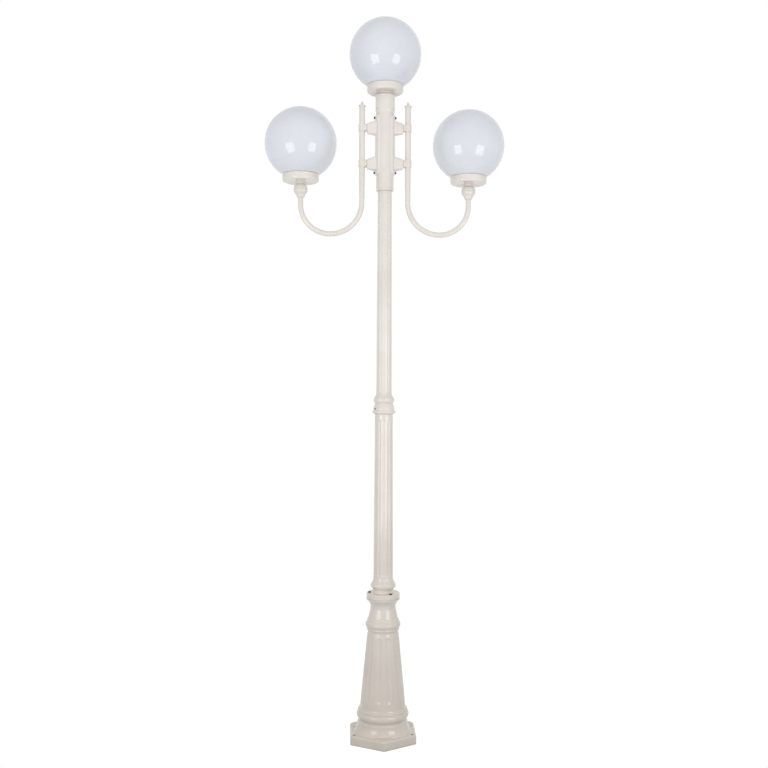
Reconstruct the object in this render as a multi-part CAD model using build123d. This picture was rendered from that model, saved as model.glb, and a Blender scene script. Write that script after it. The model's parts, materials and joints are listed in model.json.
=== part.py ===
from build123d import *
import math
import os

# Triple head garden lamp post, in millimetres.
# The origin is the centre of the base's underside, +Z is up, the two arms lie along -X and +X,
# and -Y is the front. One corner of the hexagonal base points to the front.
# Heights in this file are measured from a datum that lies this far above the ground.
DATUM_Z = 4.5

# Overall sizes.
GLOBE_RADIUS = 150.0
TOP_GLOBE_Z = 2851.0
SIDE_GLOBE_Z = 2474.0
SIDE_GLOBE_X = 351.0

# Base casting.
PLATE_CORNER_RADIUS = 156.8
PLATE_CORNER_FILLET = 14.0
PLATE_HEIGHT = 33.0
PLATE_EDGE_FILLET = 7.0
PLATE_RIM_WIDTH = 12.0
PLATE_ROOF = 11.0
ANCHOR_CIRCLE_RADIUS = 137.0
ANCHOR_HOLE_RADIUS = 6.5
ANCHOR_BOSS_RADIUS = 16.0
ANCHOR_ANGLES = (90, 210, 330)
SPUR_ANGLES = (30, 150, 270)
SPUR_ROOT = 96.0
SPUR_TIP = 147.0
SPUR_HALF_WIDTH = 33.0
SPUR_RISE = 3.0
CONE_LOW = (94.7, 138.0)
CONE_HIGH = (65.8, 431.0)
CONE_FLUTE_DEPTH = 2.8
CONE_FLUTE_WIDTHS = (28.0, 20.0)
CONE_FLUTE_Z = (179.0, 417.0)
BASE_TOP_Z = 582.0
SPIGOT_BORE_RADIUS = 36.3
TERMINAL_PAD = (56.0, 24.0, 96.0)
TERMINAL_PAD_Z = 245.0
TERMINAL_FACE_Y = 58.0
TERMINAL_BLOCK = (44.0, 18.0, 26.0)
TERMINAL_BLOCK_Z = TERMINAL_PAD_Z + 20
TERMINAL_SCREW_X = (-12, 12)
TERMINAL_WIRE_X = (-16, 0, 16)
EARTH_SCREW_Z = TERMINAL_PAD_Z - 26
WIRING_SCREW_RADIUS = 2.0
WIRING_SCREW_DEPTH = 8.0

# Fluting, the same count on the base cone and on both shafts.
FLUTE_COUNT = 12
FLUTE_STEP = 360 / FLUTE_COUNT
FRONT = 270

# Turned shapes start and end at this angle, where nothing is drilled.
SEAM_ANGLE = 118

# Lower shaft.
FOOT_FLANGE_RADIUS = 69.2
FOOT_FLANGE_TOP_Z = 604.0
LOWER_SHAFT_FOOT = (40.6, 670.0)
LOWER_SHAFT_HEAD = (37.2, 1347.0)
LOWER_BORE_RADIUS = 29.0
LOWER_FLUTE_DEPTH = 2.4
LOWER_FLUTE_WIDTHS = (15.0, 13.6)
LOWER_FLUTE_Z = (682.0, 1317.0)
FOOT_SPIGOT_RADIUS = 36.0
FOOT_SPIGOT_Z = 552.0
FLANGE_SCREW_CIRCLE = 57.0
FLANGE_SCREW_ANGLES = (60, 180, 300)
FLANGE_SCREW_TIP_Z = 571.0
FLANGE_SCREW_RADIUS = 3.0
FLANGE_HOLE_RADIUS = 3.3
FLANGE_SCREW_HEAD = (5.0, 4.0)

# Collar between the shafts.
COLLAR_TOP_Z = 1394.0
COLLAR_FLOOR_Z = 1356.0
COLLAR_SPIGOT_Z = 1316.0
COLLAR_SPIGOT_RADIUS = 28.8
COLLAR_SCREW_Z = 1371.0
COLLAR_SCREW_RADIUS = 4.0
COLLAR_SCREW_ANGLES = (30, 210)

# Upper shaft.
UPPER_SHAFT_FOOT = (32.2, 1440.0)
UPPER_SHAFT_HEAD = (29.1, 2274.0)
UPPER_SHAFT_TOP_Z = 2640.0
UPPER_BORE_RADIUS = 22.0
UPPER_SPIGOT_RADIUS = 27.0
UPPER_FLUTE_DEPTH = 2.0
UPPER_FLUTE_WIDTHS = (11.6, 11.0)
UPPER_FLUTE_Z = (1440.0, 2300.0)

# Head sleeve and the adapter above it.
SLEEVE_RADIUS = 36.5
SLEEVE_BOTTOM_Z = 2279.0
ADAPTER_BOTTOM_Z = 2599.0
ADAPTER_RADIUS = 40.5
ADAPTER_TOP_Z = 2679.0
ADAPTER_SCREW_Z = 2621.0
ADAPTER_SCREW_RADIUS = 3.0
ADAPTER_SCREW_ANGLES = (90, 210, 330)
ADAPTER_ROOF = 12.0
SPACER_RADIUS = 34.0

# Arm brackets: a curved saddle plate with two bosses, each ending in an eye for the arm.
SADDLE_RADIUS = 41.9
SADDLE_LOW_Z = 2346.0
SADDLE_HIGH_Z = 2597.0
SADDLE_HALF_ANGLE = 44
BOSS_Z = (2394.0, 2543.0)
BOSS_ROOT_X = 34.0
BOSS_END_X = 75.0
BOSS_ROOT_SIZE = (44.0, 62.0)
BOSS_END_SIZE = (34.0, 41.0)
BOSS_END_DROP = 3.0
NECK_SIZE = (23.0, 31.0)
EYE_RADIUS = 15.0
EYE_HEIGHT = 31.0
CABLE_BORE_RADIUS = 5.0
BRACKET_SCREW_Z = (2355.5, 2585.5)
BRACKET_SCREW_RADIUS = 3.0
BRACKET_SCREW_HEAD = (5.0, 6.0)
SCREW_SEAT_X = SADDLE_RADIUS - 0.4

# Arms.
ARM_RADIUS = 12.2
ARM_END_RADIUS = 10.9
ARM_BORE_RADIUS = 8.5
ARM_INNER_X = 96.0
ARM_TOP_Z = 2630.8
ARM_TAPER_Z = 2372.0
BEND_LOW = (229.0, 2098.8)
ARM_END_Z = 2262.0
ARM_SCREW_RADIUS = 2.5

# Knuckles that carry the side heads.
KNUCKLE_BOTTOM_Z = 2248.0
KNUCKLE_RADIUS = 29.2
KNUCKLE_CENTRE_Z = 2282.0
KNUCKLE_SHOULDER_Z = 2263.0
STEM_RADIUS = 19.5

# Globe holders and what they hold, in heights above the underside of the holder.
HOLDER_RADIUS = 76.0
HOLDER_WALL = 3.0
HOLDER_HEIGHT = 30.0
HOLDER_EDGE_RADIUS = 9.0
GLOBE_CENTRE_RISE = 161.0
GLOBE_WALL = 3.0
GLOBE_NECK_RADIUS = 68.0
GASKET_THICKNESS = 3.0
GASKET_INNER_RADIUS = 58.0
GASKET_OUTER_RADIUS = HOLDER_RADIUS - HOLDER_EDGE_RADIUS
NIPPLE_RADIUS = 5.0
NIPPLE_BORE_RADIUS = 3.5
NIPPLE_DROP = 10.0
NUT_ACROSS_FLATS = 17.0
NUT_HEIGHT = 5.0
LAMPHOLDER_RADIUS = 22.0
LAMPHOLDER_HEIGHT = 38.5
LAMPHOLDER_FLOOR = 12.0
BULB_CAP_RADIUS = 13.2
BULB_CAP_CLEARANCE = 0.3
BULB_CAP_LENGTH = 27.0
BULB_RADIUS = 30.0
BULB_LENGTH = 110.0
RETAINER_ANGLES = (90, 210, 330)
RETAINER_RISE = 21.0
RETAINER_RADIUS = 2.0
RETAINER_GAP = 0.6

TOP_HOLDER_Z = TOP_GLOBE_Z - GLOBE_CENTRE_RISE
SIDE_HOLDER_Z = SIDE_GLOBE_Z - GLOBE_CENTRE_RISE
HEADS = {
    "top": (0.0, TOP_HOLDER_Z),
    "left": (-SIDE_GLOBE_X, SIDE_HOLDER_Z),
    "right": (SIDE_GLOBE_X, SIDE_HOLDER_Z),
}
SIDES = {"left": -1, "right": 1}


def spun(*steps):
    """Solid spun about the Z axis. A step (r, z) is a straight line to that point, and a step
    (r_mid, z_mid, r, z) is an arc through the first point to the second."""
    edges = []
    here = steps[0]
    for step in steps[1:] + (steps[0],):
        there = step[-2:]
        if len(step) == 4:
            middle = (step[0], 0, step[1])
            edges.append(ThreePointArc((here[0], 0, here[1]), middle, (there[0], 0, there[1])))
        else:
            edges.append(Line((here[0], 0, here[1]), (there[0], 0, there[1])))
        here = there
    return revolve(Face(Wire(edges)), Axis.Z, 360)


def turned(*steps):
    """Spun solid that starts and ends where nothing is drilled."""
    return Rot(0, 0, SEAM_ANGLE) * spun(*steps)


def rod(radius, low_z, high_z):
    """Upright cylinder between two heights."""
    from_the_bottom = (Align.CENTER, Align.CENTER, Align.MIN)
    return Pos(0, 0, low_z) * Cylinder(radius, high_z - low_z, align=from_the_bottom)


def around(angles, shape):
    """Copies of a shape made at angle 0, turned to each angle about the Z axis."""
    return [Rot(0, 0, angle) * shape for angle in angles]


def radial_rod(radius, inner, outer, z):
    """Cylinder that lies along +X between two distances from the Z axis."""
    return Pos(inner, 0, z) * Rot(0, 90, 0) * rod(radius, 0, outer - inner)


def width_to_radius(width, depth):
    """Radius of a round cutter that leaves a groove of this width and depth."""
    return (width ** 2 / 4 + depth ** 2) / (2 * depth)


def flutes(low, high, low_width, high_width, depth, first_angle):
    """Round-ended flute cutters round a tapered surface that runs from (r, z) low to (r, z) high."""
    low_cut = width_to_radius(low_width, depth)
    high_cut = width_to_radius(high_width, depth)
    start = Vector(low[0] + low_cut - depth, 0, low[1])
    end = Vector(high[0] + high_cut - depth, 0, high[1])
    run = end - start
    length = run.length
    share = math.sqrt(0.5)
    capsule = spun(
        (0, -low_cut), (low_cut * share, -low_cut * share, low_cut, 0), (high_cut, length),
        (high_cut * share, length + high_cut * share, 0, length + high_cut),
    )
    cutter = Plane(origin=start, x_dir=(0, 1, 0), z_dir=run) * capsule
    return around([first_angle + FLUTE_STEP * index for index in range(FLUTE_COUNT)], cutter)


def fluted(body, low, high, widths, depth, first_angle):
    """The body with its flutes cut one after another, each of which has to take material away."""
    for cutter in flutes(low, high, *widths, depth, first_angle):
        volume = body.volume
        body = body - cutter
        if body.volume > volume - 1:
            raise ValueError("a flute was not cut")
    return body


def along(low, high, z):
    """The (r, z) point at height z on the straight line through two (r, z) points."""
    share = (z - low[1]) / (high[1] - low[1])
    return (low[0] + share * (high[0] - low[0]), z)


def base_plate():
    """Hexagonal foot with low pointed spurs that run from the body towards three of its corners."""
    outline = RegularPolygon(PLATE_CORNER_RADIUS, 6, rotation=30)
    outline = Pos(0, 0, -DATUM_Z) * fillet(outline.vertices(), PLATE_CORNER_FILLET)
    prism = extrude(outline, PLATE_HEIGHT + DATUM_Z)
    plate = fillet(prism.faces().sort_by(Axis.Z)[-1].edges(), PLATE_EDGE_FILLET)
    half = SPUR_HALF_WIDTH
    shoulder = SPUR_TIP - half * math.tan(math.radians(30))
    corners = ((SPUR_ROOT, -half), (shoulder, -half), (SPUR_TIP, 0), (shoulder, half), (SPUR_ROOT, half))
    spur = extrude(Pos(0, 0, PLATE_HEIGHT - 1) * Polygon(*corners, align=None), SPUR_RISE + 1, taper=25)
    for copy in around(SPUR_ANGLES, spur):
        plate += copy
    return plate


def base_casting():
    body = turned(
        (0, 20), (122, 20), (122, PLATE_HEIGHT - 1), (120, PLATE_HEIGHT), (109.5, 50, 104.6, 72),
        (102, 77), (102, 84), (104, 87), (108.9, 101, 105, 114), (102.5, 117), (103.4, 120.5, 98.8, 125.5),
        (97, 129), (95.4, 132.5, *CONE_LOW), CONE_HIGH, (64.9, 436.5, 63.7, 441), (63.7, 448),
        (66.3, 449.5), (68.3, 454.5, 67.2, 460.5), (68, 461), (73, 472, 69.5, 484), (66.5, 488),
        (66.8, 492, 65, 496), (61.6, 501, 59.6, 508), (52.4, 540), (52.6, 552), (55.3, 558.5, 61, 567),
        (65.4, 572.6, FOOT_FLANGE_RADIUS, 576.5), (FOOT_FLANGE_RADIUS, BASE_TOP_Z), (0, BASE_TOP_Z),
    )
    cone_ends = [along(CONE_LOW, CONE_HIGH, z) for z in CONE_FLUTE_Z]
    body = fluted(body, *cone_ends, CONE_FLUTE_WIDTHS, CONE_FLUTE_DEPTH, FRONT + FLUTE_STEP / 2)
    bore = SPIGOT_BORE_RADIUS
    hollow = turned(
        (0, -DATUM_Z - 1), (96, -DATUM_Z - 1), (96, 70), (86, 134), (57.5, 428), (55, 460), (51, 502),
        (44, 540), (44, 556), (bore, 561), (bore, BASE_TOP_Z + 1), (0, BASE_TOP_Z + 1),
    )
    body = base_plate() + body
    # The plate is a shell: a rim, a roof, and a boss round each anchor hole.
    rim = PLATE_CORNER_RADIUS - PLATE_RIM_WIDTH / math.cos(math.radians(30))
    pocket_depth = PLATE_HEIGHT - PLATE_ROOF + DATUM_Z
    pocket = Pos(0, 0, -DATUM_Z) * extrude(RegularPolygon(rim, 6, rotation=30), pocket_depth)
    anchor = Pos(ANCHOR_CIRCLE_RADIUS, 0)
    for boss in around(ANCHOR_ANGLES, anchor * rod(ANCHOR_BOSS_RADIUS, -DATUM_Z, PLATE_HEIGHT)):
        pocket -= boss
    body = body - pocket - hollow
    body -= around(ANCHOR_ANGLES, anchor * rod(ANCHOR_HOLE_RADIUS, -DATUM_Z - 1, PLATE_HEIGHT + 20))
    screw_hole = Pos(FLANGE_SCREW_CIRCLE, 0) * rod(FLANGE_SCREW_RADIUS, FLANGE_SCREW_TIP_Z, BASE_TOP_Z + 10)
    body -= around(FLANGE_SCREW_ANGLES, screw_hole)
    # Flat pad inside, at the back of the cone, for the terminal block and the earth screw.
    pad = Pos(0, TERMINAL_FACE_Y + TERMINAL_PAD[1] / 2, TERMINAL_PAD_Z) * Box(*TERMINAL_PAD)
    inside_low = (CONE_LOW[0] - 5, CONE_LOW[1])
    inside_high = (CONE_HIGH[0] - 5, CONE_HIGH[1])
    envelope = turned((0, 20), (100, 20), inside_low, inside_high, (0, CONE_HIGH[1]))
    body += pad & envelope
    body -= terminal_screw_shanks()
    return body


def terminal_screw_shanks():
    """Shanks of the two terminal screws and the earth screw, in the pad inside the base."""
    places = [(x, TERMINAL_BLOCK_Z) for x in TERMINAL_SCREW_X] + [(0, EARTH_SCREW_Z)]
    shank = Rot(-90, 0, 0) * rod(WIRING_SCREW_RADIUS, 0, WIRING_SCREW_DEPTH)
    return [Pos(x, TERMINAL_FACE_Y, z) * shank for x, z in places]


def terminal_block():
    """Three-way terminal block on the pad, with a wire entry on each side and holes for its screws."""
    depth = TERMINAL_BLOCK[1]
    block = Pos(0, TERMINAL_FACE_Y - depth / 2, TERMINAL_BLOCK_Z) * Box(*TERMINAL_BLOCK)
    block = fillet(block.edges().filter_by(Axis.Y), 3)
    wire_entry = rod(2.5, -TERMINAL_BLOCK[2], TERMINAL_BLOCK[2])
    for x in TERMINAL_WIRE_X:
        block -= Pos(x, TERMINAL_FACE_Y - depth / 2 - 1, TERMINAL_BLOCK_Z) * wire_entry
    screw_hole = Rot(-90, 0, 0) * rod(WIRING_SCREW_RADIUS, -depth - 1, 1)
    for x in TERMINAL_SCREW_X:
        block -= Pos(x, TERMINAL_FACE_Y, TERMINAL_BLOCK_Z) * screw_hole
    return block


def terminal_screws():
    """Two screws through the terminal block into the pad."""
    depth = TERMINAL_BLOCK[1]
    screw = rod(WIRING_SCREW_RADIUS, -depth, WIRING_SCREW_DEPTH) + rod(3.8, -depth - 2.5, -depth)
    return [Pos(x, TERMINAL_FACE_Y, TERMINAL_BLOCK_Z) * Rot(-90, 0, 0) * screw for x in TERMINAL_SCREW_X]


def earth_screw():
    """Earth screw with its washer, on the pad below the terminal block."""
    place = Pos(0, TERMINAL_FACE_Y, EARTH_SCREW_Z) * Rot(-90, 0, 0)
    washer = rod(6, -1.2, 0)
    head = rod(4, -4.5, -1.2)
    return place * (rod(WIRING_SCREW_RADIUS, -1, WIRING_SCREW_DEPTH) + washer + head)


def lower_shaft():
    body = turned(
        (LOWER_BORE_RADIUS, FOOT_SPIGOT_Z), (FOOT_SPIGOT_RADIUS, FOOT_SPIGOT_Z),
        (FOOT_SPIGOT_RADIUS, BASE_TOP_Z), (67.7, BASE_TOP_Z), (FOOT_FLANGE_RADIUS, BASE_TOP_Z + 1.5),
        (FOOT_FLANGE_RADIUS, 600), (68.03, 602.83, 65.2, FOOT_FLANGE_TOP_Z), (48.5, FOOT_FLANGE_TOP_Z),
        (44.2, 608, 42.9, 618), (45.2, 622.5), (52.4, 634.5, 46.4, 647.5), (45.4, 649), (45.6, 651.5),
        (42.1, 658, *LOWER_SHAFT_FOOT), LOWER_SHAFT_HEAD, (LOWER_BORE_RADIUS, LOWER_SHAFT_HEAD[1]),
    )
    ends = [along(LOWER_SHAFT_FOOT, LOWER_SHAFT_HEAD, z) for z in LOWER_FLUTE_Z]
    body = fluted(body, *ends, LOWER_FLUTE_WIDTHS, LOWER_FLUTE_DEPTH, FRONT)
    hole = Pos(FLANGE_SCREW_CIRCLE, 0) * rod(FLANGE_HOLE_RADIUS, BASE_TOP_Z - 10, FOOT_FLANGE_TOP_Z + 10)
    return body - around(FLANGE_SCREW_ANGLES, hole)


def flange_screws():
    """Three hexagon screws that hold the lower shaft's foot to the base."""
    half_flats, height = FLANGE_SCREW_HEAD
    hexagon = RegularPolygon(half_flats, 6, major_radius=False)
    head = Pos(FLANGE_SCREW_CIRCLE, 0, FOOT_FLANGE_TOP_Z) * extrude(hexagon, height)
    head = chamfer(head.faces().sort_by(Axis.Z)[-1].edges(), 0.7)
    shank = rod(FLANGE_SCREW_RADIUS, FLANGE_SCREW_TIP_Z, FOOT_FLANGE_TOP_Z + 1)
    return around(FLANGE_SCREW_ANGLES, head + Pos(FLANGE_SCREW_CIRCLE, 0) * shank)


def shaft_collar():
    """Socket casting on the lower shaft that takes the upper shaft's spigot."""
    floor_bore = UPPER_BORE_RADIUS
    socket = UPPER_SPIGOT_RADIUS
    head_z = LOWER_SHAFT_HEAD[1]
    body = turned(
        (floor_bore, COLLAR_SPIGOT_Z), (COLLAR_SPIGOT_RADIUS, COLLAR_SPIGOT_Z),
        (COLLAR_SPIGOT_RADIUS, head_z), (38, head_z), (42.5, 1350.5), (48.4, 1357, 45.2, 1364),
        (43.6, 1367), (43.4, 1374, 39.4, 1386), (38, 1390), (37.4, COLLAR_TOP_Z), (socket, COLLAR_TOP_Z),
        (socket, COLLAR_FLOOR_Z), (floor_bore, COLLAR_FLOOR_Z),
    )
    screw_hole = radial_rod(COLLAR_SCREW_RADIUS, socket - 1, 60, COLLAR_SCREW_Z)
    return body - around(COLLAR_SCREW_ANGLES, screw_hole)


def set_screw(radius, inner, outer, z):
    """Set screw with a hexagon socket, lying along +X."""
    socket = Pos(outer, 0, z) * Rot(0, 90, 0) * extrude(RegularPolygon(radius * 0.55, 6), -radius * 1.2)
    return radial_rod(radius, inner, outer, z) - socket


def collar_grub_screws():
    screw = set_screw(COLLAR_SCREW_RADIUS, UPPER_SPIGOT_RADIUS, 43.5, COLLAR_SCREW_Z)
    return around(COLLAR_SCREW_ANGLES, screw)


def upper_shaft():
    bore = UPPER_BORE_RADIUS
    spigot = UPPER_SPIGOT_RADIUS
    body = turned(
        (bore, COLLAR_FLOOR_Z), (spigot, COLLAR_FLOOR_Z), (spigot, COLLAR_TOP_Z), (37.2, COLLAR_TOP_Z),
        (40.4, 1397.5), (43.2, 1406.5, 41.2, 1416.5), (40, 1418), (34.5, 1426.5, *UPPER_SHAFT_FOOT),
        UPPER_SHAFT_HEAD, (UPPER_SHAFT_HEAD[0], UPPER_SHAFT_TOP_Z), (bore, UPPER_SHAFT_TOP_Z),
    )
    ends = [along(UPPER_SHAFT_FOOT, UPPER_SHAFT_HEAD, z) for z in UPPER_FLUTE_Z]
    body = fluted(body, *ends, UPPER_FLUTE_WIDTHS, UPPER_FLUTE_DEPTH, FRONT)
    return body - head_cable_bores() - head_screw_shanks()


def head_cable_bores():
    """Cable ways from the post into the lower boss of each bracket and on into the arm."""
    bore = rod(CABLE_BORE_RADIUS, 15, ARM_INNER_X)
    return [Pos(0, 0, BOSS_Z[0]) * Rot(0, side * 90, 0) * bore for side in (-1, 1)]


def head_screw_shanks():
    """Shanks of the bracket screws, as they pass the saddle plate, the sleeve and the shaft's wall."""
    shanks = []
    for side in (-1, 1):
        for z in BRACKET_SCREW_Z:
            shank = rod(BRACKET_SCREW_RADIUS, UPPER_BORE_RADIUS + 1, 60)
            shanks.append(Pos(0, 0, z) * Rot(0, side * 90, 0) * shank)
    return shanks


def head_sleeve():
    bore = UPPER_SHAFT_HEAD[0]
    low = SLEEVE_BOTTOM_Z
    high = ADAPTER_BOTTOM_Z
    radius = SLEEVE_RADIUS
    body = turned(
        (bore, low), (34.6, low), (36.5, low + 1.2, 37, low + 4.5), (36.4, low + 8.6), (35.4, low + 9.4),
        (35.4, low + 11), (radius, low + 12), (radius, high), (bore, high),
    )
    return body - head_cable_bores() - head_screw_shanks()


def top_adapter():
    """Cap on the end of the post that carries the top holder."""
    bore = UPPER_SHAFT_HEAD[0]
    low = ADAPTER_BOTTOM_Z
    high = ADAPTER_TOP_Z
    radius = ADAPTER_RADIUS
    body = turned(
        (bore, low), (37.2, low), (38.2, low + 5.5, radius, low + 15), (radius, high - 3.5),
        (39.5, high - 1, 37, high), (NIPPLE_RADIUS, high), (NIPPLE_RADIUS, high - ADAPTER_ROOF),
        (bore, high - ADAPTER_ROOF),
    )
    screw_hole = radial_rod(ADAPTER_SCREW_RADIUS, bore - 1, 60, ADAPTER_SCREW_Z)
    return body - around(ADAPTER_SCREW_ANGLES, screw_hole)


def adapter_grub_screws():
    screw = set_screw(ADAPTER_SCREW_RADIUS, UPPER_SHAFT_HEAD[0], ADAPTER_RADIUS - 0.6, ADAPTER_SCREW_Z)
    return around(ADAPTER_SCREW_ANGLES, screw)


def top_spacer():
    """Turned spacer between the adapter and the top holder."""
    high = TOP_HOLDER_Z
    low = ADAPTER_TOP_Z
    waist = (SPACER_RADIUS - 1.4, (low + high) / 2)
    side = (*waist, SPACER_RADIUS, high)
    return turned((NIPPLE_RADIUS, low), (SPACER_RADIUS, low), side, (NIPPLE_RADIUS, high))


def across_arm(x, z):
    """Plane at right angles to the X axis, whose own X runs along +Y and whose own Y runs up."""
    return Plane(origin=(x, 0, z), x_dir=(0, 1, 0), z_dir=(1, 0, 0))


def bracket():
    """Right-hand bracket: saddle plate, two tapered bosses, and the eyes that hold the arm."""
    low = SADDLE_LOW_Z
    high = SADDLE_HIGH_Z
    saddle = turned(
        (SLEEVE_RADIUS, low), (38, low), (40.8, low + 2.2, SADDLE_RADIUS, low + 10),
        (SADDLE_RADIUS, high - 10), (40.8, high - 2.2, 38, high), (SLEEVE_RADIUS, high),
    )
    half_width = SADDLE_RADIUS * math.sin(math.radians(SADDLE_HALF_ANGLE))
    window = RectangleRounded(high - low + 0.2, 2 * half_width, 14)
    body = saddle & (Pos(0, 0, (low + high) / 2) * Rot(0, 90, 0) * extrude(window, 60))
    for z in BOSS_Z:
        root = across_arm(BOSS_ROOT_X, z) * RectangleRounded(*BOSS_ROOT_SIZE, 12)
        end = across_arm(BOSS_END_X, z - BOSS_END_DROP) * RectangleRounded(*BOSS_END_SIZE, 10)
        boss = loft([root, end])
        boss = fillet(boss.faces().sort_by(Axis.X)[-1].edges(), 2.5)
        neck = across_arm(BOSS_END_X - 4, z) * RectangleRounded(*NECK_SIZE, 9)
        neck = extrude(neck, ARM_INNER_X - BOSS_END_X + 4)
        eye = rod(EYE_RADIUS, z - EYE_HEIGHT / 2, z + EYE_HEIGHT / 2)
        eye = fillet(eye.edges(), 1.5)
        body += boss + neck + Pos(ARM_INNER_X, 0) * eye
    body -= rod(SLEEVE_RADIUS, low - 50, high + 50)
    body -= Pos(ARM_INNER_X, 0) * rod(ARM_RADIUS, low - 50, high + 50)
    for z in BOSS_Z:
        body -= radial_rod(ARM_SCREW_RADIUS, ARM_INNER_X, ARM_INNER_X + 30, z)
    for z in BRACKET_SCREW_Z:
        body -= radial_rod(BRACKET_SCREW_HEAD[0] + 0.4, SCREW_SEAT_X, SCREW_SEAT_X + 20, z)
    return body - head_cable_bores() - head_screw_shanks()


def bracket_screws():
    """Two cap screws on the saddle plate, right-hand side."""
    screws = []
    for z in BRACKET_SCREW_Z:
        radius, height = BRACKET_SCREW_HEAD
        screw = radial_rod(radius, SCREW_SEAT_X, SCREW_SEAT_X + height, z)
        screw = fillet(screw.faces().sort_by(Axis.X)[-1].edges(), 1.2)
        socket = Pos(SCREW_SEAT_X + height, 0, z) * Rot(0, 90, 0) * extrude(RegularPolygon(2.9, 6), -3)
        shank = radial_rod(BRACKET_SCREW_RADIUS, UPPER_BORE_RADIUS + 1, SCREW_SEAT_X + 1, z)
        screws.append((screw - socket) + shank)
    return screws


def arm():
    """Right-hand arm: a tube that runs down, tapers, and turns round two bends up to the knuckle."""
    low_x, low_z = BEND_LOW
    inner = low_x - ARM_INNER_X
    outer = SIDE_GLOBE_X - low_x
    share = math.sqrt(0.5)
    inner_top = (ARM_INNER_X, 0, low_z + inner)
    inner_middle = (low_x - inner * share, 0, low_z + inner * (1 - share))
    lowest = (low_x, 0, low_z)
    outer_middle = (low_x + outer * share, 0, low_z + outer * (1 - share))
    outer_top = (SIDE_GLOBE_X, 0, low_z + outer)
    path = ThreePointArc(inner_top, inner_middle, lowest) + ThreePointArc(lowest, outer_middle, outer_top)
    path += Line(outer_top, (SIDE_GLOBE_X, 0, ARM_END_Z))
    section = Pos(*inner_top) * (Circle(ARM_END_RADIUS) - Circle(ARM_BORE_RADIUS))
    leg = turned(
        (ARM_BORE_RADIUS, inner_top[2]), (ARM_END_RADIUS, inner_top[2]), (ARM_RADIUS, ARM_TAPER_Z),
        (ARM_RADIUS, ARM_TOP_Z), (ARM_BORE_RADIUS, ARM_TOP_Z),
    )
    tube = Pos(ARM_INNER_X, 0) * leg + sweep(section, path=path)
    return tube - Pos(0, 0, BOSS_Z[0]) * Rot(0, 90, 0) * rod(CABLE_BORE_RADIUS, 70, ARM_INNER_X)


def arm_grub_screws():
    """Set screws through the outer side of the right-hand eyes, down on to the arm."""
    inner = ARM_INNER_X + ARM_RADIUS
    outer = ARM_INNER_X + EYE_RADIUS - 0.2
    return [set_screw(ARM_SCREW_RADIUS, inner, outer, z) for z in BOSS_Z]


def finial():
    """Pointed cap with a plug that fits into the top of the right-hand arm."""
    low = ARM_TOP_Z
    plug = ARM_BORE_RADIUS
    cap = turned(
        (0, low - 14), (plug - 1, low - 14), (plug, low - 12), (plug, low), (13.4, low),
        (16, low + 3.4, 13, low + 6.6), (7.6, low + 8.6, 5.2, low + 13), (5.7, low + 15.2, 4.3, low + 18),
        (2.4, low + 20.5, 1, low + 24), (0, low + 24.6),
    )
    return Pos(ARM_INNER_X, 0) * cap


def knuckle_socket():
    """Lower half of the right-hand knuckle, a cone and a half ball on the end of the arm."""
    low = KNUCKLE_BOTTOM_Z
    shoulder = KNUCKLE_SHOULDER_Z
    body = turned(
        (ARM_END_RADIUS, low), (12.6, low), (13.8, low + 1.2), (17.2, low + 6.5, 19.2, shoulder - 2),
        (20.2, shoulder), (26.8, shoulder + 6.8, KNUCKLE_RADIUS, KNUCKLE_CENTRE_Z - 2),
        (KNUCKLE_RADIUS, KNUCKLE_CENTRE_Z), (CABLE_BORE_RADIUS, KNUCKLE_CENTRE_Z),
        (CABLE_BORE_RADIUS, ARM_END_Z), (ARM_END_RADIUS, ARM_END_Z),
    )
    return Pos(SIDE_GLOBE_X, 0) * body


def knuckle_cap():
    """Upper half of the right-hand knuckle, with the stem that carries the holder."""
    low = KNUCKLE_CENTRE_Z
    high = SIDE_HOLDER_Z
    body = turned(
        (NIPPLE_RADIUS, low), (KNUCKLE_RADIUS - 0.8, low), (KNUCKLE_RADIUS, low + 0.8),
        (27.4, low + 11.6, 21, low + 20.5), (STEM_RADIUS, low + 21.5), (STEM_RADIUS - 0.8, low + 23),
        (STEM_RADIUS, high - 2), (STEM_RADIUS + 2, high), (NIPPLE_RADIUS, high),
    )
    return Pos(SIDE_GLOBE_X, 0) * body


def mirrored(shape, side):
    """The right-hand shape itself for side 1, and its mirror image for side -1."""
    shapes = shape if isinstance(shape, list) else [shape]
    if side == 1:
        return shapes
    return [mirror(piece, Plane.YZ) for piece in shapes]


def holder():
    """Round cup with a rolled rim, at its own height 0."""
    outer = HOLDER_RADIUS
    inner = outer - HOLDER_WALL
    edge = HOLDER_EDGE_RADIUS
    bend = edge * math.sin(math.radians(45))
    inner_edge = edge - HOLDER_WALL
    inner_bend = inner_edge * math.sin(math.radians(45))
    cup = turned(
        (NIPPLE_RADIUS, 0), (outer - edge, 0), (outer - edge + bend, edge - bend, outer, edge),
        (outer, HOLDER_HEIGHT - 6.5), (outer + 0.9, HOLDER_HEIGHT - 3, outer - 0.6, HOLDER_HEIGHT),
        (inner + 0.4, HOLDER_HEIGHT - 0.6), (inner, HOLDER_HEIGHT - 2), (inner, edge),
        (outer - edge + inner_bend, edge - inner_bend, outer - edge, HOLDER_WALL),
        (NIPPLE_RADIUS, HOLDER_WALL),
    )
    screw_hole = radial_rod(RETAINER_RADIUS, inner - 5, outer + 5, RETAINER_RISE)
    return cup - around(RETAINER_ANGLES, screw_hole)


def retainer_screws():
    """Three set screws through the cup's wall that face the neck of the globe."""
    inner = GLOBE_NECK_RADIUS + RETAINER_GAP
    return around(RETAINER_ANGLES, set_screw(RETAINER_RADIUS, inner, HOLDER_RADIUS + 0.4, RETAINER_RISE))


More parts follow.
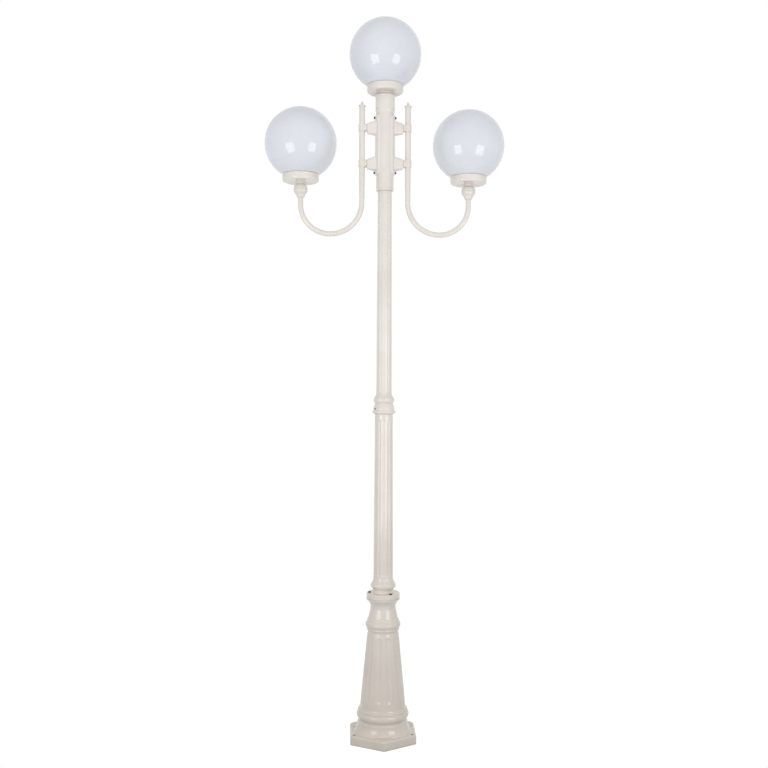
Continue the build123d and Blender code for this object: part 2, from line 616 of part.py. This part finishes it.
def nipple():
    """Threaded tube that passes the wires and holds the cup and the lampholder down."""
    return rod(NIPPLE_RADIUS, -NIPPLE_DROP, HOLDER_WALL + NUT_HEIGHT + 6) - rod(NIPPLE_BORE_RADIUS, -20, 40)


def nipple_nut():
    nut = extrude(RegularPolygon(NUT_ACROSS_FLATS / 2, 6, major_radius=False), NUT_HEIGHT)
    nut = chamfer(nut.faces().sort_by(Axis.Z)[-1].edges(), 0.8)
    return Pos(0, 0, HOLDER_WALL) * (nut - rod(NIPPLE_RADIUS, -1, 20))


def gasket():
    low = HOLDER_WALL
    high = low + GASKET_THICKNESS
    return rod(GASKET_OUTER_RADIUS, low, high) - rod(GASKET_INNER_RADIUS, low - 1, high + 1)


def lampholder():
    """Lampholder that stands on the nut, with a socket for the bulb's screw cap."""
    low = HOLDER_WALL + NUT_HEIGHT
    high = low + LAMPHOLDER_HEIGHT
    floor = low + LAMPHOLDER_FLOOR
    bore = BULB_CAP_RADIUS + BULB_CAP_CLEARANCE
    skirt = LAMPHOLDER_RADIUS
    body = turned(
        (0, low + 6), (NIPPLE_RADIUS, low + 6), (NIPPLE_RADIUS, low), (14, low), (skirt - 3, low + 5),
        (skirt, low + 12), (skirt, high - 6), (skirt + 1.5, high - 5), (skirt + 1.5, high - 1),
        (skirt, high), (bore, high), (bore, floor), (0, floor),
    )
    return body


def bulb_cap():
    """Screw cap of the bulb, with its contact and the insulator round it."""
    low = HOLDER_WALL + NUT_HEIGHT + LAMPHOLDER_FLOOR
    high = low + BULB_CAP_LENGTH
    return turned(
        (0, low), (4, low), (5, low + 1.5), (9, low + 4.5), (BULB_CAP_RADIUS - 1, low + 5),
        (BULB_CAP_RADIUS, low + 6.5), (BULB_CAP_RADIUS, high), (0, high),
    )


def bulb():
    """Body and dome of the bulb."""
    low = HOLDER_WALL + NUT_HEIGHT + LAMPHOLDER_FLOOR + BULB_CAP_LENGTH
    high = low + BULB_LENGTH - BULB_CAP_LENGTH
    centre = high - BULB_RADIUS
    shoulder = (BULB_RADIUS * math.cos(math.radians(25)), centre - BULB_RADIUS * math.sin(math.radians(25)))
    side = (BULB_RADIUS, centre)
    return turned((0, low), (12.6, low), (14.5, low + 4), (15.5, low + 13), shoulder, (*side, 0, high))


def globe():
    """Hollow ball with a straight open neck that stands on the gasket."""
    centre = GLOBE_CENTRE_RISE
    outer = GLOBE_RADIUS
    inner = outer - GLOBE_WALL
    neck_outer = GLOBE_NECK_RADIUS
    neck_inner = neck_outer - GLOBE_WALL
    foot = HOLDER_WALL + GASKET_THICKNESS
    outer_join = centre - math.sqrt(outer ** 2 - neck_outer ** 2)
    inner_join = centre - math.sqrt(inner ** 2 - neck_inner ** 2)
    return turned(
        (neck_outer, foot), (neck_outer, outer_join), (outer, centre, 0, centre + outer),
        (0, centre + inner), (inner, centre, neck_inner, inner_join), (neck_inner, foot),
    )


def build_parts():
    """Every node's name and its solids, in the place where they are fitted."""
    parts = {
        "base_casting": base_casting(),
        "terminal_block": terminal_block(),
        "terminal_screws": terminal_screws(),
        "earth_screw": earth_screw(),
        "lower_shaft": lower_shaft(),
        "flange_screws": flange_screws(),
        "shaft_collar": shaft_collar(),
        "collar_grub_screws": collar_grub_screws(),
        "upper_shaft": upper_shaft(),
        "head_sleeve": head_sleeve(),
        "top_adapter": top_adapter(),
        "adapter_grub_screws": adapter_grub_screws(),
        "top_spacer": top_spacer(),
    }
    one_side = {
        "bracket": bracket(),
        "bracket_screws": bracket_screws(),
        "arm": arm(),
        "arm_grub_screws": arm_grub_screws(),
        "finial": finial(),
        "knuckle_socket": knuckle_socket(),
        "knuckle_cap": knuckle_cap(),
    }
    for name, shape in one_side.items():
        for side_name, side in SIDES.items():
            parts[f"{name}_{side_name}"] = mirrored(shape, side)
    one_head = {
        "holder": holder(),
        "retainer_screws": retainer_screws(),
        "nipple": nipple(),
        "nipple_nut": nipple_nut(),
        "gasket": gasket(),
        "lampholder": lampholder(),
        "bulb_cap": bulb_cap(),
        "bulb": bulb(),
        "globe": globe(),
    }
    for name, shape in one_head.items():
        shapes = shape if isinstance(shape, list) else [shape]
        for head_name, (x, z) in HEADS.items():
            parts[f"{name}_{head_name}"] = [Pos(x, 0, z) * piece for piece in shapes]
    return parts


def main():
    os.makedirs("parts", exist_ok=True)
    for node, shape in build_parts().items():
        shapes = shape if isinstance(shape, list) else [shape]
        solids = [solid for piece in shapes for solid in (Pos(0, 0, DATUM_Z) * piece).solids()]
        export_step(Compound(children=solids), f"parts/{node}.step")
        print(f"{node}: {len(solids)} solid(s), {sum(solid.volume for solid in solids) / 1000:.1f} cm3")


main()
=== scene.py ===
import json
import math

import bpy
from mathutils import Euler, Matrix

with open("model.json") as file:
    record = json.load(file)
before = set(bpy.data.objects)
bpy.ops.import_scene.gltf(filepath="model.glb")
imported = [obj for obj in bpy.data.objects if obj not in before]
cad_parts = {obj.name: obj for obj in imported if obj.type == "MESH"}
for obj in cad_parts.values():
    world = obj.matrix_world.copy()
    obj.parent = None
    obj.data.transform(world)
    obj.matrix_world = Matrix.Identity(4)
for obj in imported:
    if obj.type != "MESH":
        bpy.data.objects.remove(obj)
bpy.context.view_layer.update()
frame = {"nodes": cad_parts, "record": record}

# The view, in metres and degrees: a level camera in front of the post, a little to its left.
CAMERA_DISTANCE = 4.0
CAMERA_HEIGHT = 1.4785
CAMERA_AZIMUTH = -2.8
CAMERA_ROLL = 0.245
IMAGE_WIDTH = 768
FOCAL_LENGTH_PX = 957.0
SENSOR_WIDTH = 36.0

# Light. The surround is white, and lights the object a little more from below than from above.
# Two tall softboxes stand in front, and a lamp hangs above the heads.
WORLD_ABOVE = 0.58
WORLD_BELOW = 0.68
HORIZON_BLEND = 0.3
SOFTBOX_POWER = 28.0
SOFTBOX_SIZE = (1.5, 1.7)
SOFTBOX_DISTANCE = 3.2
SOFTBOX_HEIGHT = 1.2
SOFTBOX_AZIMUTHS = (-39, 37)
SOFTBOX_TARGET_HEIGHT = 2.6
TOP_POWER = 7.0
TOP_SIZE = 1.6
TOP_PLACE = (0.0, -1.6, 4.2)
TOP_TILT = 42
FLOOR_COLOUR = 0.4
FLOOR_ROUGHNESS = 0.9
FLOOR_GLOW = 0.82
FLOOR_RADIUS = 1.4
FLOOR_CORNERS = 96
FLOOR_DROP = 0.0005

# The range in which a noise's values mostly lie.
NOISE_LOW = 0.35
NOISE_HIGH = 0.65

# The coat, in metres and screen colours: up to what height painted shade darkens it towards the ground,
# and how far into its grooves and corners painted shade reaches.
WHITE = (255, 255, 255)
GROUND_SHADE_TOP = 1.7
GROUND_SHADE_TINT = (245, 241, 236)
GROOVE_SHADE_REACH = 0.02
GROOVE_SHADE_TINT = (228, 216, 206)
GROOVE_SHADE_DEEP = 0.25
GROOVE_SHADE_OPEN = 0.8
GROOVE_SHADE_SAMPLES = 8

# Ridges of a bulb cap's thread, as the wave texture's scale.
CAP_RIDGES = 90


def linear(red, green, blue):
    """A colour written in 0 to 255 screen values, as the shader wants it."""
    def channel(value):
        value = value / 255
        if value <= 0.04045:
            return value / 12.92
        return ((value + 0.055) / 1.055) ** 2.4
    return (channel(red), channel(green), channel(blue), 1.0)


class Nodes:
    """A material's node tree, with short ways to add and link nodes."""

    def __init__(self, name):
        self.material = bpy.data.materials.new(name)
        self.material.use_nodes = True
        self.tree = self.material.node_tree
        self.shader = self.tree.nodes["Principled BSDF"]
        self.place = self.add("ShaderNodeTexCoord").outputs["Object"]

    def add(self, kind, **values):
        node = self.tree.nodes.new(kind)
        for key, value in values.items():
            setattr(node, key, value)
        return node

    def link(self, source, target):
        self.tree.links.new(source, target)

    def noise(self, scale, detail=3.0, stretch=(1, 1, 1)):
        """Noise over the object, in metres. stretch scales its axes."""
        mapping = self.add("ShaderNodeMapping")
        mapping.inputs["Scale"].default_value = stretch
        texture = self.add("ShaderNodeTexNoise")
        texture.inputs["Scale"].default_value = scale
        texture.inputs["Detail"].default_value = detail
        self.link(self.place, mapping.inputs["Vector"])
        self.link(mapping.outputs["Vector"], texture.inputs["Vector"])
        return texture.outputs["Fac"]

    def spread(self, source, low, high, start=NOISE_LOW, end=NOISE_HIGH):
        """Maps the source's start..end, usually a noise's range, to low..high."""
        node = self.add("ShaderNodeMapRange")
        node.inputs["From Min"].default_value = start
        node.inputs["From Max"].default_value = end
        node.inputs["To Min"].default_value = low
        node.inputs["To Max"].default_value = high
        self.link(source, node.inputs["Value"])
        return node.outputs["Result"]

    def ramp(self, source, first, second, start, end):
        """A colour that goes from first to second as the source goes from start to end."""
        ramp = self.add("ShaderNodeValToRGB")
        low, high = ramp.color_ramp.elements
        low.position, low.color = start, linear(*first)
        high.position, high.color = end, linear(*second)
        self.link(source, ramp.inputs["Fac"])
        return ramp.outputs["Color"]

    def colours(self, source, first, second):
        """Base colour between first and second, by a noise."""
        colour = self.ramp(source, first, second, NOISE_LOW, NOISE_HIGH)
        self.link(colour, self.shader.inputs["Base Color"])

    def height(self, low, high):
        """0 to 1 between two heights."""
        split = self.add("ShaderNodeSeparateXYZ")
        self.link(self.place, split.inputs["Vector"])
        return self.spread(split.outputs["Z"], 0, 1, low, high)

    def openness(self, distance):
        """0 deep in corners and grooves, 1 on open faces."""
        node = self.add("ShaderNodeAmbientOcclusion", samples=GROOVE_SHADE_SAMPLES)
        node.inputs["Distance"].default_value = distance
        return node.outputs["AO"]

    def tint(self, source, first, start=0.0, end=1.0):
        """Multiplies the base colour by a tint that goes from first to white with the source."""
        tint = self.ramp(source, first, WHITE, start, end)
        mix = self.add("ShaderNodeMix", data_type="RGBA", blend_type="MULTIPLY")
        factor, first_colour, second_colour = mix.inputs[0], mix.inputs[6], mix.inputs[7]
        factor.default_value = 1.0
        colour = self.shader.inputs["Base Color"]
        self.link(colour.links[0].from_socket, first_colour)
        self.link(tint, second_colour)
        self.link(mix.outputs[2], colour)

    def bump(self, source, strength, distance):
        """Adds a bump on top of those already there."""
        node = self.add("ShaderNodeBump")
        node.inputs["Strength"].default_value = strength
        node.inputs["Distance"].default_value = distance
        self.link(source, node.inputs["Height"])
        previous = self.shader.inputs["Normal"]
        if previous.links:
            self.link(previous.links[0].from_socket, node.inputs["Normal"])
        self.link(node.outputs["Normal"], previous)

    def rough(self, source, low, high):
        self.link(self.spread(source, low, high), self.shader.inputs["Roughness"])

    def set(self, **values):
        for key, value in values.items():
            self.shader.inputs[key.replace("_", " ")].default_value = value


def cream_coat(name, first, second):
    """Glossy powder coat on castings: orange peel, with painted shade in grooves and corners and
    towards the ground.
    """
    made = Nodes(name)
    made.colours(made.noise(9, 4), first, second)
    # Painted shade: the coat is darkened towards the ground, standing in for the light that falls off
    # lower down the post.
    made.tint(made.height(0.0, GROUND_SHADE_TOP), GROUND_SHADE_TINT)
    # Painted shade: an ambient occlusion mask darkens the coat in grooves, corners and between parts,
    # where shade falls.
    made.tint(made.openness(GROOVE_SHADE_REACH), GROOVE_SHADE_TINT, GROOVE_SHADE_DEEP, GROOVE_SHADE_OPEN)
    made.rough(made.noise(35, 3), 0.1, 0.17)
    made.bump(made.noise(420, 2), 0.02, 0.0004)
    made.bump(made.noise(45, 2), 0.015, 0.0015)
    return made.material


def opal_plastic():
    """Smooth milky globe with slight clouding and the soft waviness of a moulding."""
    made = Nodes("opal_plastic")
    made.colours(made.noise(7, 3), (220, 223, 230), (225, 228, 236))
    made.rough(made.noise(22, 2), 0.02, 0.05)
    made.bump(made.noise(16, 1), 0.015, 0.002)
    made.set(Subsurface_Weight=0.1, Subsurface_Radius=(1.0, 1.0, 1.0), Subsurface_Scale=0.004)
    return made.material


def bulb_diffuser():
    made = Nodes("bulb_diffuser")
    made.colours(made.noise(60, 3), (240, 239, 232), (247, 246, 240))
    made.rough(made.noise(160, 2), 0.38, 0.5)
    made.bump(made.noise(900, 2), 0.08, 0.0003)
    return made.material


def bulb_cap_metal():
    """Aluminium cap with the rounded ridges of its screw thread."""
    made = Nodes("bulb_cap_metal")
    made.colours(made.noise(300, 3), (196, 196, 196), (214, 213, 210))
    made.rough(made.noise(240, 3), 0.24, 0.38)
    wave = made.add("ShaderNodeTexWave", wave_type="BANDS", bands_direction="Z")
    wave.inputs["Scale"].default_value = CAP_RIDGES
    made.link(made.place, wave.inputs["Vector"])
    made.bump(wave.outputs["Fac"], 0.7, 0.0012)
    made.set(Metallic=1.0)
    return made.material


def ceramic():
    made = Nodes("lampholder_ceramic")
    made.colours(made.noise(120, 4), (228, 225, 216), (238, 236, 229))
    made.rough(made.noise(90, 2), 0.14, 0.24)
    made.bump(made.noise(240, 2), 0.1, 0.0005)
    return made.material


def rubber():
    made = Nodes("gasket_rubber")
    made.colours(made.noise(350, 4), (206, 205, 199), (220, 219, 213))
    made.rough(made.noise(500, 3), 0.62, 0.8)
    made.bump(made.noise(1400, 3), 0.2, 0.0003)
    return made.material


def zinc_steel():
    made = Nodes("zinc_steel")
    made.colours(made.noise(380, 5), (176, 178, 180), (202, 202, 198))
    made.rough(made.noise(420, 3), 0.28, 0.48)
    made.bump(made.noise(800, 2, (1, 1, 6)), 0.15, 0.0002)
    made.set(Metallic=1.0)
    return made.material


def black_steel():
    """Blackened screws, with metal showing through a little."""
    made = Nodes("black_steel")
    made.colours(made.noise(260, 4), (46, 40, 46), (78, 70, 78))
    made.rough(made.noise(300, 3), 0.35, 0.55)
    made.bump(made.noise(900, 2), 0.15, 0.0002)
    made.set(Metallic=0.5)
    return made.material


def brass():
    made = Nodes("brass")
    made.colours(made.noise(300, 4), (190, 160, 96), (214, 184, 118))
    made.rough(made.noise(380, 3), 0.22, 0.4)
    made.bump(made.noise(700, 2), 0.12, 0.0002)
    made.set(Metallic=1.0)
    return made.material


def terminal_plastic():
    made = Nodes("terminal_plastic")
    made.colours(made.noise(180, 3), (220, 217, 207), (229, 226, 217))
    made.rough(made.noise(300, 3), 0.45, 0.6)
    made.bump(made.noise(1100, 2), 0.18, 0.0003)
    return made.material


MATERIALS = {
    "cream_coat": cream_coat("cream_coat", (225, 219, 212), (231, 226, 220)),
    "opal_plastic": opal_plastic(),
    "bulb_diffuser": bulb_diffuser(),
    "bulb_cap_metal": bulb_cap_metal(),
    "lampholder_ceramic": ceramic(),
    "gasket_rubber": rubber(),
    "zinc_steel": zinc_steel(),
    "black_steel": black_steel(),
    "brass": brass(),
    "terminal_plastic": terminal_plastic(),
}

# The two finials are whiter than the rest of the coat.
FINIAL_COAT = cream_coat("finial_coat", (222, 221, 223), (229, 228, 231))


def dress_nodes():
    """Every CAD node gets the procedural material of its slot, and the finials their own coat."""
    slots = {part["node"]: part["material_slot"] for part in frame["record"]["subparts"]}
    for node, piece in frame["nodes"].items():
        material = FINIAL_COAT if node.startswith("finial") else MATERIALS[slots[node]]
        piece.data.materials.clear()
        piece.data.materials.append(material)


def white_for_direct_rays(nodes, links):
    """1 for camera, glossy and transmission rays, 0 for the rays that light the object."""
    path = nodes.new("ShaderNodeLightPath")
    total = path.outputs["Is Camera Ray"]
    for name in ("Is Glossy Ray", "Is Transmission Ray"):
        larger = nodes.new("ShaderNodeMath")
        larger.operation = "MAXIMUM"
        links.new(total, larger.inputs[0])
        links.new(path.outputs[name], larger.inputs[1])
        total = larger.outputs[0]
    return total


def make_world():
    """Surround that is white where it is seen, and plain light of two levels everywhere else."""
    world = bpy.data.worlds.new("surround")
    bpy.context.scene.world = world
    world.use_nodes = True
    nodes, links = world.node_tree.nodes, world.node_tree.links
    background = nodes["Background"]
    background.inputs["Color"].default_value = (1, 1, 1, 1)
    direction = nodes.new("ShaderNodeTexCoord")
    split = nodes.new("ShaderNodeSeparateXYZ")
    links.new(direction.outputs["Generated"], split.inputs["Vector"])
    shade = nodes.new("ShaderNodeMapRange")
    shade.inputs["From Min"].default_value = -HORIZON_BLEND
    shade.inputs["From Max"].default_value = HORIZON_BLEND
    shade.inputs["To Min"].default_value = WORLD_BELOW
    shade.inputs["To Max"].default_value = WORLD_ABOVE
    links.new(split.outputs["Z"], shade.inputs["Value"])
    level = nodes.new("ShaderNodeMapRange")
    links.new(white_for_direct_rays(nodes, links), level.inputs["Value"])
    links.new(shade.outputs["Result"], level.inputs["To Min"])
    links.new(level.outputs["Result"], background.inputs["Strength"])


def make_floor():
    """Plain pale disc under the post, bright enough to meet the white surround, that keeps a shadow."""
    bpy.ops.mesh.primitive_circle_add(
        vertices=FLOOR_CORNERS, radius=FLOOR_RADIUS, fill_type="NGON", location=(0, 0, -FLOOR_DROP)
    )
    floor = bpy.context.object
    floor.name = "floor"
    material = bpy.data.materials.new("floor_white")
    material.use_nodes = True
    nodes, links = material.node_tree.nodes, material.node_tree.links
    shader = nodes["Principled BSDF"]
    shader.inputs["Base Color"].default_value = (FLOOR_COLOUR, FLOOR_COLOUR, FLOOR_COLOUR, 1)
    shader.inputs["Roughness"].default_value = FLOOR_ROUGHNESS
    shader.inputs["Specular IOR Level"].default_value = 0.0
    glow = nodes.new("ShaderNodeEmission")
    glow.inputs["Color"].default_value = (1, 1, 1, 1)
    share = nodes.new("ShaderNodeMath")
    share.operation = "MULTIPLY"
    share.inputs[1].default_value = FLOOR_GLOW
    links.new(white_for_direct_rays(nodes, links), share.inputs[0])
    links.new(share.outputs[0], glow.inputs["Strength"])
    both = nodes.new("ShaderNodeAddShader")
    links.new(shader.outputs[0], both.inputs[0])
    links.new(glow.outputs[0], both.inputs[1])
    links.new(both.outputs[0], nodes["Material Output"].inputs["Surface"])
    floor.data.materials.append(material)


def add_lamp(name, power, place, turn):
    """Area lamp, turned by the given angles in radians."""
    light = bpy.data.lights.new(name, "AREA")
    light.energy = power
    lamp = bpy.data.objects.new(name, light)
    bpy.context.scene.collection.objects.link(lamp)
    lamp.location = place
    lamp.rotation_euler = turn
    return lamp


def make_softboxes():
    """Two softboxes low in front that look up at the heads and show in the globes."""
    drop = math.atan2(SOFTBOX_HEIGHT - SOFTBOX_TARGET_HEIGHT, SOFTBOX_DISTANCE)
    for azimuth in SOFTBOX_AZIMUTHS:
        turn = math.radians(azimuth)
        place = (SOFTBOX_DISTANCE * math.sin(turn), -SOFTBOX_DISTANCE * math.cos(turn), SOFTBOX_HEIGHT)
        lamp = add_lamp(f"softbox_{azimuth}", SOFTBOX_POWER, place, (math.pi / 2 - drop, 0, turn))
        lamp.data.shape = "RECTANGLE"
        lamp.data.size, lamp.data.size_y = SOFTBOX_SIZE


def make_top_lamp():
    """Large lamp over the globes that doesn't show in them as a highlight."""
    lamp = add_lamp("top_lamp", TOP_POWER, TOP_PLACE, (math.radians(TOP_TILT), 0, 0))
    lamp.data.size = TOP_SIZE
    lamp.visible_glossy = False


def make_camera():
    """The camera of the photograph's view."""
    data = bpy.data.cameras.new("camera")
    data.sensor_width = SENSOR_WIDTH
    data.lens = FOCAL_LENGTH_PX / IMAGE_WIDTH * SENSOR_WIDTH
    camera = bpy.data.objects.new("camera", data)
    bpy.context.scene.collection.objects.link(camera)
    turn = math.radians(CAMERA_AZIMUTH)
    camera.location = (
        CAMERA_DISTANCE * math.sin(turn), -CAMERA_DISTANCE * math.cos(turn), CAMERA_HEIGHT
    )
    camera.rotation_mode = "QUATERNION"
    level = Euler((math.pi / 2, 0, turn)).to_matrix()
    roll = Matrix.Rotation(math.radians(CAMERA_ROLL), 3, "Z")
    camera.rotation_quaternion = (level @ roll).to_quaternion()
    bpy.context.scene.camera = camera


dress_nodes()
make_world()
make_floor()
make_softboxes()
make_top_lamp()
make_camera()
bpy.context.scene.view_settings.view_transform = "Standard"
